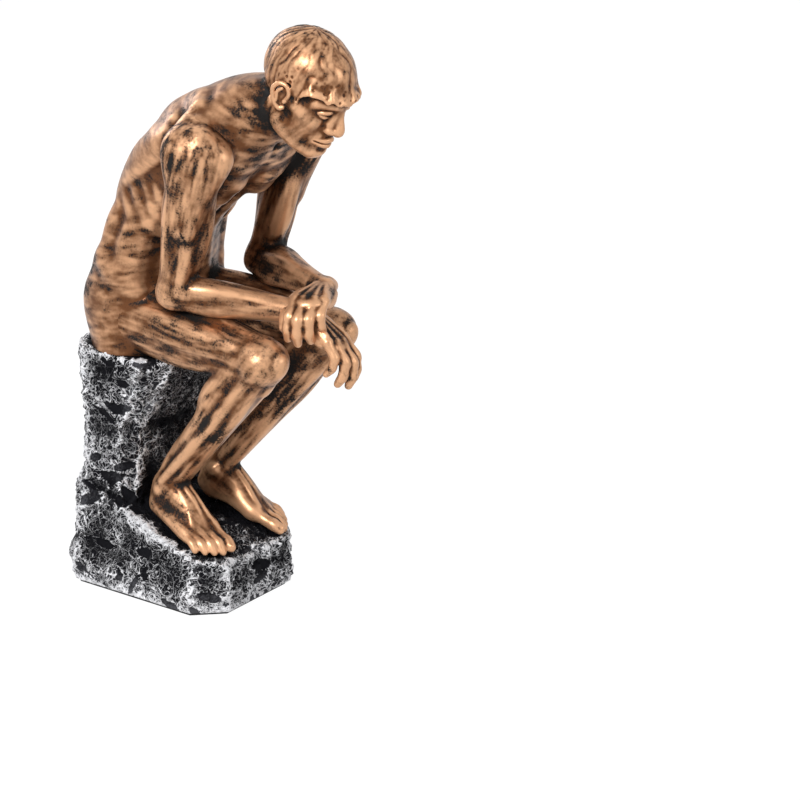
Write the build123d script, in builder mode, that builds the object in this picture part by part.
# Seated figure in thought on a rough rock seat: a cold-cast resin ornament.
# The figure is cast in six pieces, glued and pinned together with steel dowels, and pinned to a solid cast rock.
# Frame: origin under the middle of the rock, +Z up, the figure faces -Y, its left side is +X. Millimetres.

import os
from math import cos, radians, sin, sqrt, tan

from build123d import *

os.makedirs("parts", exist_ok=True)

# Rock
base_depth = 96.0
base_width = 74.0
base_corner_share = 0.135
base_lip_height = 8.0
base_lip_inset = 2.0
step_height = 36.0
step_slope = 17.0
step_inset = 5.0
seat_height = 114.0
seat_width = 70.0
seat_depth = 62.0
seat_back_inset = 4.0
seat_corner_share = 0.22
waist_height = 76.0
waist_draw = 5.0
waist_lean = 3.0
heel_room = 2.0
chip_spacing = 18.0
chip_depth = 2.6
chip_front_share = 0.4
felt_thickness = 1.5
felt_inset = 2.0

# Bones of the figure
hip_spacing = 34.0
hip_from_back = 39.0
thigh_length = 77.0
shin_length = 96.0
ankle_height = 14.0
foot_length = 48.0
heel_length = 11.0
foot_spacing = 32.0
foot_stagger = 3.0
toe_margin = 1.5
toe_out = 10.0
knee_out = 6.0
trunk_length = 122.0
trunk_setback = 4.0
trunk_lean = 68.0
shoulder_spacing = 71.0
shoulder_drop = 15.0
shoulder_roll = 5.5
upper_arm_length = 69.0
forearm_length = 57.0
elbow_out = 15.0
elbow_back = 44.0
wrist_reach = 6.0
wrist_rise = 17.0
wrist_offset = 5.0
clasp_width = 14.0
clasp_rise = 6.4
palm_length = 19.0
finger_length = 20.0
neck_length = 21.0
neck_lean = 58.0
head_height = 48.0
head_width = 32.0
head_depth = 41.0
head_bow = 28.0

# Flesh on the bones, as half sizes
thigh_half = 17.0
knee_half = 12.2
calf_half = 12.8
ankle_half = 7.2
foot_half = 9.5
deltoid_half = 13.4
elbow_half = 8.4
forearm_half = 9.4
wrist_half = 6.0
palm_half = 8.4
hand_half = 4.2
neck_half = 10.8
nose_half = 3.2
ear_half = 4.8
hip_half = 34.5
hip_deep = 23.5
waist_half = 29.0
waist_deep = 19.0
chest_half = 33.5
chest_deep = 22.0
collar_half = 33.0
collar_deep = 18.5
nape_half = 13.5
nape_deep = 10.5

# Fixings
glue_gap = 0.25
dowel_diameter = 4.0
dowel_length = 24.0
dowel_fit = 0.05
dowel_end_room = 0.5
seat_pin_diameter = 5.0
seat_pin_length = 40.0
seat_pin_spacing = 16.0
seat_pin_setback = 7.0
foot_pin_diameter = 2.4
foot_pin_length = 16.0

up = Vector(0, 0, 1)
front = Vector(0, -1, 0)
left = Vector(1, 0, 0)
sides = {"right": -1, "left": 1}
hip_line = base_depth / 2 - hip_from_back
hip_level = seat_height + thigh_half
ankle_line = -base_depth / 2 + toe_margin + foot_length - heel_length
spine_start = Vector(0, hip_line + trunk_setback, hip_level)
step_fall = tan(radians(step_slope))
step_face = Plane((0, ankle_line, step_height), left, up + front * step_fall)


# Joints of the figure
def middle_joint(start, end, first, second, pole):
    """Knee or elbow of a two-bone limb from start to end, bent towards pole."""
    line = end - start
    along = (first**2 - second**2 + line.length**2) / (2 * line.length)
    unit = line.normalized()
    bend = (pole - unit * pole.dot(unit)).normalized()
    return start + unit * along + bend * sqrt(first**2 - along**2)


def tilted(degrees):
    """The upward direction after leaning forward by an angle."""
    return up * cos(radians(degrees)) + front * sin(radians(degrees))


def step_level(y):
    """Height of the step, which falls towards the front."""
    return step_height + (y - ankle_line) * step_fall


def spine(share):
    """Place and direction on the spine, an arc that starts upright and leans by trunk_lean at its end."""
    radius = trunk_length / radians(trunk_lean)
    lean = max(share, 0) * trunk_lean
    below = up * min(share, 0) * trunk_length
    forward = front * radius * (1 - cos(radians(lean)))
    return spine_start + below + forward + up * radius * sin(radians(lean)), tilted(lean)


def hip(side):
    return Vector(side * hip_spacing / 2, hip_line, hip_level)


def ankle(side):
    y = ankle_line + (foot_stagger if side == sides["right"] else 0)
    return Vector(side * foot_spacing / 2, y, step_level(y) + ankle_height)


def knee(side):
    pole = front + left * side * tan(radians(knee_out))
    return middle_joint(hip(side), ankle(side), thigh_length, shin_length, pole)


def shoulder(side):
    place, direction = spine(1 - shoulder_drop / trunk_length)
    return place + left * side * shoulder_spacing / 2 - direction.cross(left) * shoulder_roll


def wrist(side):
    between_knees = (knee(sides["right"]) + knee(sides["left"])) / 2
    right_wrist = between_knees + front * wrist_reach + up * wrist_rise - left * wrist_offset
    if side == sides["right"]:
        return right_wrist
    return right_wrist + left * clasp_width + up * clasp_rise


def elbow(side):
    pole = left * side * tan(radians(elbow_out)) - front * tan(radians(elbow_back)) - up
    return middle_joint(shoulder(side), wrist(side), upper_arm_length, forearm_length, pole)


def sole_ends(side):
    """Heel and toe of the sole, on the sloping step."""
    sole = ankle(side) - up * ankle_height
    forward = (front + left * side * tan(radians(toe_out)) - up * step_fall).normalized()
    return sole - forward * heel_length, sole + forward * (foot_length - heel_length)


def hand_ends(side):
    """Knuckles and finger tips of a hand, and the direction across its palm.

    The right hand hangs in front of the knees, and the left hand lies over the right wrist.
    """
    if side == sides["right"]:
        reach = front * 0.80 + left * 0.12 - up * 0.60
        curl = front * 0.45 + left * 0.05 - up * 0.90
        across = left
    else:
        reach = front * 0.30 - left * 0.95 - up * 0.05
        curl = front * 0.15 - left * 0.45 - up * 0.90
        across = front
    knuckles = wrist(side) + reach.normalized() * palm_length
    return knuckles, knuckles + curl.normalized() * finger_length, across


neck_start = spine(1)[0]
neck_up = tilted(neck_lean)
skull_base = neck_start + neck_up * neck_length
head_up = tilted(head_bow)
head_front = -head_up.cross(left)


def head_place(height, forward, sideways=0.0):
    """A place on the head, in shares of its height, depth and width from the base of the skull."""
    return skull_base + head_up * head_height * height + head_front * head_depth * forward + left * head_width * sideways


# Flesh
def flesh(start, end, across, stations, grow=0.0):
    """Loft through ellipses square to the bone from start to end.

    A station is a share of the bone, the half size that it follows, and the shares of that size
    along and square to across, and of the shift square to across.
    """
    bone = end - start
    with BuildPart() as piece:
        for share, half, wide, deep, shift in stations:
            with BuildSketch(Plane(start + bone * share, across, bone)):
                with Locations((0, half * shift)):
                    Ellipse(half * wide + grow, half * deep + grow)
        loft()
    return piece.part


def ball(centre, radius):
    with BuildPart() as piece:
        with Locations(centre):
            Sphere(radius)
    return piece.part


def rod(centre, direction, radius, length):
    with BuildPart() as piece:
        with Locations(Plane(centre, z_dir=direction)):
            Cylinder(radius, length)
    return piece.part


def leg(side, grow=0.0):
    thigh = [
        (0.00, thigh_half, 1.00, 1.00, 0.00),
        (0.30, thigh_half, 0.97, 1.00, 0.00),
        (0.60, thigh_half, 0.86, 0.90, 0.03),
        (0.85, thigh_half, 0.70, 0.74, 0.03),
        (1.00, knee_half, 0.97, 0.97, 0.00),
    ]
    shin = [
        (0.00, knee_half, 0.93, 0.97, 0.00),
        (0.25, calf_half, 1.00, 1.00, -0.22),
        (0.50, calf_half, 0.86, 0.90, -0.18),
        (0.80, ankle_half, 1.00, 1.15, -0.08),
        (1.00, ankle_half, 0.95, 1.20, 0.00),
    ]
    foot = [
        (0.03, ankle_height, 0.24, 0.35, 0.30),
        (0.12, ankle_height, 0.45, 0.62, 0.35),
        (0.35, ankle_height, 0.55, 0.95, 0.20),
        (0.65, foot_half, 0.98, 0.91, 0.00),
        (0.85, foot_half, 1.00, 0.62, 0.00),
        (1.00, foot_half, 0.62, 0.32, 0.00),
    ]
    heel, toe = sole_ends(side)
    with BuildPart() as piece:
        add(flesh(hip(side), knee(side), left, thigh, grow))
        add(ball(knee(side), knee_half + grow))
        add(flesh(knee(side), ankle(side), left, shin, grow))
        add(ball(ankle(side), ankle_half + grow))
        add(flesh(heel, toe, left, foot, grow))
    return piece.part


def arm(side, grow=0.0):
    upper = [
        (0.00, deltoid_half, 0.96, 0.96, 0.00),
        (0.20, deltoid_half, 0.96, 0.96, 0.00),
        (0.55, deltoid_half, 0.80, 0.86, 0.04),
        (0.85, elbow_half, 1.00, 1.05, 0.00),
        (1.00, elbow_half, 0.95, 0.95, 0.00),
    ]
    fore = [
        (0.00, elbow_half, 0.93, 0.93, 0.00),
        (0.25, forearm_half, 1.00, 0.95, 0.00),
        (0.55, forearm_half, 0.86, 0.80, 0.00),
        (0.85, wrist_half, 1.05, 0.85, 0.00),
        (1.00, wrist_half, 1.00, 0.80, 0.00),
    ]
    palm = [
        (0.00, wrist_half, 0.95, 0.75, 0.00),
        (0.45, palm_half, 0.95, 0.50, 0.00),
        (1.00, palm_half, 1.00, 0.42, 0.00),
    ]
    fingers = [
        (0.00, palm_half, 0.97, 0.41, 0.00),
        (0.60, palm_half, 0.85, 0.35, 0.00),
        (1.00, palm_half, 0.55, 0.22, 0.00),
    ]
    knuckles, tips, across = hand_ends(side)
    with BuildPart() as piece:
        add(ball(shoulder(side), deltoid_half + grow))
        add(flesh(shoulder(side), elbow(side), left, upper, grow))
        add(ball(elbow(side), elbow_half + grow))
        add(flesh(elbow(side), wrist(side), left, fore, grow))
        add(ball(wrist(side), wrist_half * 0.85 + grow))
        add(flesh(wrist(side), knuckles, across, palm, grow))
        add(ball(knuckles, hand_half * 0.85 + grow))
        add(flesh(knuckles, tips, across, fingers, grow))
    return piece.part


neck_seat = 0.2


def skull_and_neck(grow=0.0):
    """Head without its nose and ears: a skull station is a height, half sizes and a shift in shares of the head."""
    skull = [
        (-0.45, 0.20, 0.14, 0.32),
        (-0.32, 0.32, 0.27, 0.22),
        (-0.12, 0.42, 0.42, 0.08),
        (0.06, 0.47, 0.48, 0.02),
        (0.24, 0.50, 0.50, 0.00),
        (0.40, 0.45, 0.44, -0.02),
        (0.51, 0.30, 0.30, -0.02),
        (0.55, 0.12, 0.12, -0.02),
    ]
    neck = [
        (-neck_seat, neck_half, 1.10, 1.10, 0.00),
        (0.50, neck_half, 0.97, 1.00, 0.00),
        (1.30, neck_half, 1.00, 1.10, 0.00),
    ]
    with BuildPart() as piece:
        for height, wide, deep, forward in skull:
            with BuildSketch(Plane(head_place(height, forward), left, head_up)):
                Ellipse(head_width * wide + grow, head_depth * deep + grow)
        loft()
        add(flesh(neck_start, skull_base, left, neck, grow))
    return piece.part


def hip_dowel(side, fit=0.0, room=0.0):
    return rod(hip(side), knee(side) - hip(side), dowel_diameter / 2 + fit, dowel_length + 2 * room)


def shoulder_dowel(side, fit=0.0, room=0.0):
    centre = shoulder(side) - left * side * deltoid_half
    return rod(centre, left, dowel_diameter / 2 + fit, dowel_length + 2 * room)


def neck_dowel(fit=0.0, room=0.0):
    centre = neck_start - neck_up * neck_length * neck_seat
    return rod(centre, neck_up, dowel_diameter / 2 + fit, dowel_length + 2 * room)


def seat_pin(side, fit=0.0, room=0.0):
    centre = Vector(side * seat_pin_spacing / 2, hip_line + seat_pin_setback, seat_height)
    return rod(centre, up, seat_pin_diameter / 2 + fit, seat_pin_length + 2 * room)


def foot_pin(side, fit=0.0, room=0.0):
    centre = ankle(side) - up * ankle_height
    return rod(centre, step_face.z_dir, foot_pin_diameter / 2 + fit, foot_pin_length + 2 * room)


# Rock, solid cast and rough-hewn
wave_step = 12.9898
wave_height = 43758.5453
level_step = 41


def rough(number):
    """A repeatable share from 0 to 1 that looks random: what is left over of a very high sine wave."""
    return (sin(number * wave_step) * wave_height) % 1.0


def rock_ring(level, number, counts, corner_share, depth):
    """Corners of one level: a rectangle with cut corners, its edges in pieces and pushed in by up to depth.

    A level is a height, a width and the front and back edges. The corners are a share of its depth.
    """
    height, width, front_edge, back_edge = level
    corner = corner_share * (back_edge - front_edge)
    half, inner = width / 2, width / 2 - corner
    across, along = counts
    edges = [
        (across, (-inner, front_edge), (inner, front_edge), (0, chip_front_share)),
        (along, (half, front_edge + corner), (half, back_edge - corner), (-1, 0)),
        (across, (inner, back_edge), (-inner, back_edge), (0, -1)),
        (along, (-half, back_edge - corner), (-half, front_edge + corner), (1, 0)),
    ]
    ring = []
    for count, start, end, inward in edges:
        for piece in range(count + 1):
            share = piece / count
            push = depth * rough(len(ring) + level_step * number)
            x = start[0] + (end[0] - start[0]) * share + inward[0] * push
            y = start[1] + (end[1] - start[1]) * share + inward[1] * push
            ring.append(Vector(x, y, height))
    return ring


def halfway(levels):
    """The levels with one more between each pair."""
    between = [tuple((a + b) / 2 for a, b in zip(*pair)) for pair in zip(levels, levels[1:])]
    return [level for pair in zip(levels, between) for level in pair] + [levels[-1]]


def facet(*corners):
    return Face(Wire.make_polygon(corners))


def rock_block(smooth_levels, rough_levels, corner_share):
    """Flat triangles between the levels, as a chisel leaves them."""
    levels = [(level, 0.0) for level in smooth_levels] + [(level, chip_depth) for level in rough_levels]
    first = levels[0][0]
    depth = first[3] - first[2]
    counts = [max(1, round((size - 2 * corner_share * depth) / chip_spacing)) for size in (first[1], depth)]
    rings = [rock_ring(level, number, counts, corner_share, push) for number, (level, push) in enumerate(levels)]
    facets = [facet(*rings[0]), facet(*rings[-1])]
    for lower, upper in zip(rings, rings[1:]):
        for here in range(len(lower)):
            ahead = (here + 1) % len(lower)
            facets.append(facet(lower[here], lower[ahead], upper[here]))
            facets.append(facet(lower[ahead], upper[ahead], upper[here]))
    return Solid(Shell(facets))


base_edge = base_depth / 2
bottom_edge = base_edge - base_lip_inset
bottom_width = base_width - 2 * base_lip_inset
lip_top = felt_thickness + base_lip_height
step_edge = base_edge - step_inset
step_width = base_width - 2 * step_inset
pillar_front = ankle_line + foot_stagger + heel_length + heel_room
waist_front = pillar_front - waist_lean
waist_width = seat_width - 2 * waist_draw
seat_back = base_edge - seat_back_inset
seat_front = seat_back - seat_depth
waist_back = seat_back - waist_draw
lip_levels = [
    (felt_thickness, bottom_width, -bottom_edge, bottom_edge),
    (lip_top, base_width, -base_edge, base_edge),
]
base_levels = lip_levels[-1:] + [(step_level(base_edge), step_width, -step_edge, step_edge)]
pillar_levels = [
    (lip_top, waist_width, pillar_front, waist_back),
    (step_height, waist_width, pillar_front, waist_back),
    (waist_height, waist_width, waist_front, waist_back),
    (seat_height, seat_width, seat_front, seat_back),
]

with BuildPart() as whole_rock:
    add(rock_block(lip_levels, halfway(halfway(base_levels))[1:], base_corner_share))
    split(bisect_by=step_face, keep=Keep.BOTTOM)
    add(rock_block([], halfway(pillar_levels), seat_corner_share))

with BuildPart() as rock_base:
    add(whole_rock.part)
    for side in sides.values():
        add(foot_pin(side, dowel_fit, dowel_end_room), mode=Mode.SUBTRACT)
        add(seat_pin(side, dowel_fit, dowel_end_room), mode=Mode.SUBTRACT)
rock_base.part.label = "rock_base"
export_step(rock_base.part, "parts/rock_base.step")

# Felt under the rock
felt_depth = 2 * (bottom_edge - felt_inset)
with BuildPart() as felt_sheet:
    with BuildSketch() as felt_outline:
        Rectangle(bottom_width - 2 * felt_inset, felt_depth)
        chamfer(felt_outline.vertices(), base_corner_share * felt_depth)
    extrude(amount=felt_thickness)
felt_sheet.part.label = "felt_sheet"
export_step(felt_sheet.part, "parts/felt_sheet.step")

# Legs, which sit on the seat and stand on the step
for word, side in sides.items():
    with BuildPart() as seated_leg:
        add(leg(side))
        split(bisect_by=Plane((side * glue_gap / 2, 0, 0), z_dir=left * side), keep=Keep.TOP)
        add(whole_rock.part, mode=Mode.SUBTRACT)
        split(bisect_by=step_face, keep=Keep.TOP)
        add(hip_dowel(side, dowel_fit, dowel_end_room), mode=Mode.SUBTRACT)
        add(foot_pin(side, dowel_fit, dowel_end_room), mode=Mode.SUBTRACT)
    seated_leg.part.label = f"{word}_leg"
    export_step(seated_leg.part, f"parts/{word}_leg.step")

# Arms, with the forearms on the thighs and the left hand over the right wrist
for word, side in sides.items():
    with BuildPart() as resting_arm:
        add(arm(side))
        for leg_side in sides.values():
            add(leg(leg_side, glue_gap), mode=Mode.SUBTRACT)
        if side == sides["left"]:
            add(arm(sides["right"], glue_gap), mode=Mode.SUBTRACT)
        add(shoulder_dowel(side, dowel_fit, dowel_end_room), mode=Mode.SUBTRACT)
    resting_arm.part.label = f"{word}_arm"
    export_step(resting_arm.part, f"parts/{word}_arm.step")

# Torso, with sockets for the limbs and the neck
trunk_stations = [
    (-thigh_half / trunk_length, hip_half * 0.92, hip_deep * 0.96, 0.00),
    (0.00, hip_half, hip_deep, 0.00),
    (0.16, hip_half * 0.95, hip_deep * 0.92, 0.00),
    (0.37, waist_half, waist_deep, 0.00),
    (0.56, chest_half * 0.93, chest_deep * 0.92, 0.08),
    (0.73, chest_half, chest_deep, 0.10),
    (0.87, collar_half, collar_deep, 0.00),
    (0.97, collar_half * 0.66, collar_deep * 0.72, -0.05),
    (1.05, nape_half, nape_deep, -0.10),
]

# Muscles that shape the trunk: two ends, each sideways, forward and as a share of the spine, then half sizes
trunk_muscles = {
    "shoulder_blade": ((9, -17.0, 0.77), (31, -10.5, 0.785), 11.0, 5.0),
    "blade_edge": ((15, -18.5, 0.655), (35, -7.0, 0.775), 5.2, 5.2),
    "back_slope": ((3, -17.0, 0.55), (18, -14.5, 0.86), 7.0, 4.6),
    "neck_slope": ((3, -8.0, 1.04), (31, -4.0, 0.915), 7.0, 6.5),
    "lower_lat": ((8, -16.5, 0.28), (27, -11.0, 0.59), 8.0, 5.0),
    "upper_lat": ((22, -13.0, 0.52), (36, -2.0, 0.79), 9.0, 6.0),
    "loin": ((6, -16.5, 0.03), (5, -16.5, 0.68), 5.2, 3.6),
    "seat_muscle": ((13, -13.0, -0.10), (22, -10.0, 0.12), 13.0, 11.5),
    "chest": ((3, 20.0, 0.74), (35, 8.0, 0.80), 11.0, 8.0),
    "belly": ((6.2, 17.2, 0.64), (6, 17.4, 0.08), 6.2, 3.2),
    "flank": ((27.5, 3.0, 0.50), (28, 6.5, 0.12), 8.0, 5.2),
    "back_flank": ((23, -9.0, 0.48), (27.5, -7.0, 0.18), 6.5, 4.4),
}
muscle_swell = [(0.0, 0.5), (0.18, 0.85), (0.5, 1.0), (0.82, 0.85), (1.0, 0.5)]


def trunk_place(sideways, forward, share):
    place, direction = spine(share)
    return place + left * sideways - direction.cross(left) * forward


def muscle(side, start, end, half_width, half_depth):
    """Spindle on the trunk, flat towards the trunk's surface."""
    low, high = (trunk_place(side * x, forward, share) for x, forward, share in (start, end))
    bone = high - low
    outward = (low + high) / 2 - spine((start[2] + end[2]) / 2)[0]
    deep = half_depth / half_width
    stations = [(share, half_width, swell, swell * deep, 0.0) for share, swell in muscle_swell]
    return flesh(low, high, bone.cross(outward), stations)


with BuildPart() as torso:
    for share, half_width, half_depth, forward in trunk_stations:
        place, direction = spine(share)
        with BuildSketch(Plane(place, left, direction)):
            with Locations((0, -half_depth * forward)):
                Ellipse(half_width, half_depth)
    loft()
    for side in sides.values():
        for form in trunk_muscles.values():
            add(muscle(side, *form))
    split(bisect_by=Plane((0, 0, seat_height)), keep=Keep.TOP)
    for side in sides.values():
        add(leg(side, glue_gap), mode=Mode.SUBTRACT)
        add(arm(side, glue_gap), mode=Mode.SUBTRACT)
        add(hip_dowel(side, dowel_fit, dowel_end_room), mode=Mode.SUBTRACT)
        add(shoulder_dowel(side, dowel_fit, dowel_end_room), mode=Mode.SUBTRACT)
        add(seat_pin(side, dowel_fit, dowel_end_room), mode=Mode.SUBTRACT)
    add(skull_and_neck(glue_gap), mode=Mode.SUBTRACT)
    add(neck_dowel(dowel_fit, dowel_end_room), mode=Mode.SUBTRACT)
torso.part.label = "torso"
export_step(torso.part, "parts/torso.step")

# Head and neck, cast in one
nose = [
    (0.00, nose_half, 0.50, 0.50, 0.00),
    (0.80, nose_half, 1.00, 0.90, 0.00),
    (1.00, nose_half, 0.80, 0.60, 0.00),
]
ear = [
    (0.00, ear_half, 0.25, 0.50, 0.00),
    (0.60, ear_half, 0.40, 1.00, 0.00),
    (1.00, ear_half, 0.25, 0.60, 0.00),
]

with BuildPart() as head:
    add(skull_and_neck())
    add(flesh(head_place(0.12, 0.47), head_place(-0.08, 0.56), left, nose))
    for side in sides.values():
        add(flesh(head_place(-0.10, 0.02, side * 0.45), head_place(0.12, -0.02, side * 0.49), left, ear))
    add(neck_dowel(dowel_fit, dowel_end_room), mode=Mode.SUBTRACT)
head.part.label = "head"
export_step(head.part, "parts/head.step")

# Dowels and pins
with BuildPart() as neck_pin:
    add(neck_dowel())
neck_pin.part.label = "neck_dowel"
export_step(neck_pin.part, "parts/neck_dowel.step")

side_pins = {
    "hip_dowel": hip_dowel,
    "shoulder_dowel": shoulder_dowel,
    "seat_pin": seat_pin,
    "foot_pin": foot_pin,
}
for word, side in sides.items():
    for name, pin in side_pins.items():
        with BuildPart() as side_pin:
            add(pin(side))
        side_pin.part.label = f"{word}_{name}"
        export_step(side_pin.part, f"parts/{word}_{name}.step")
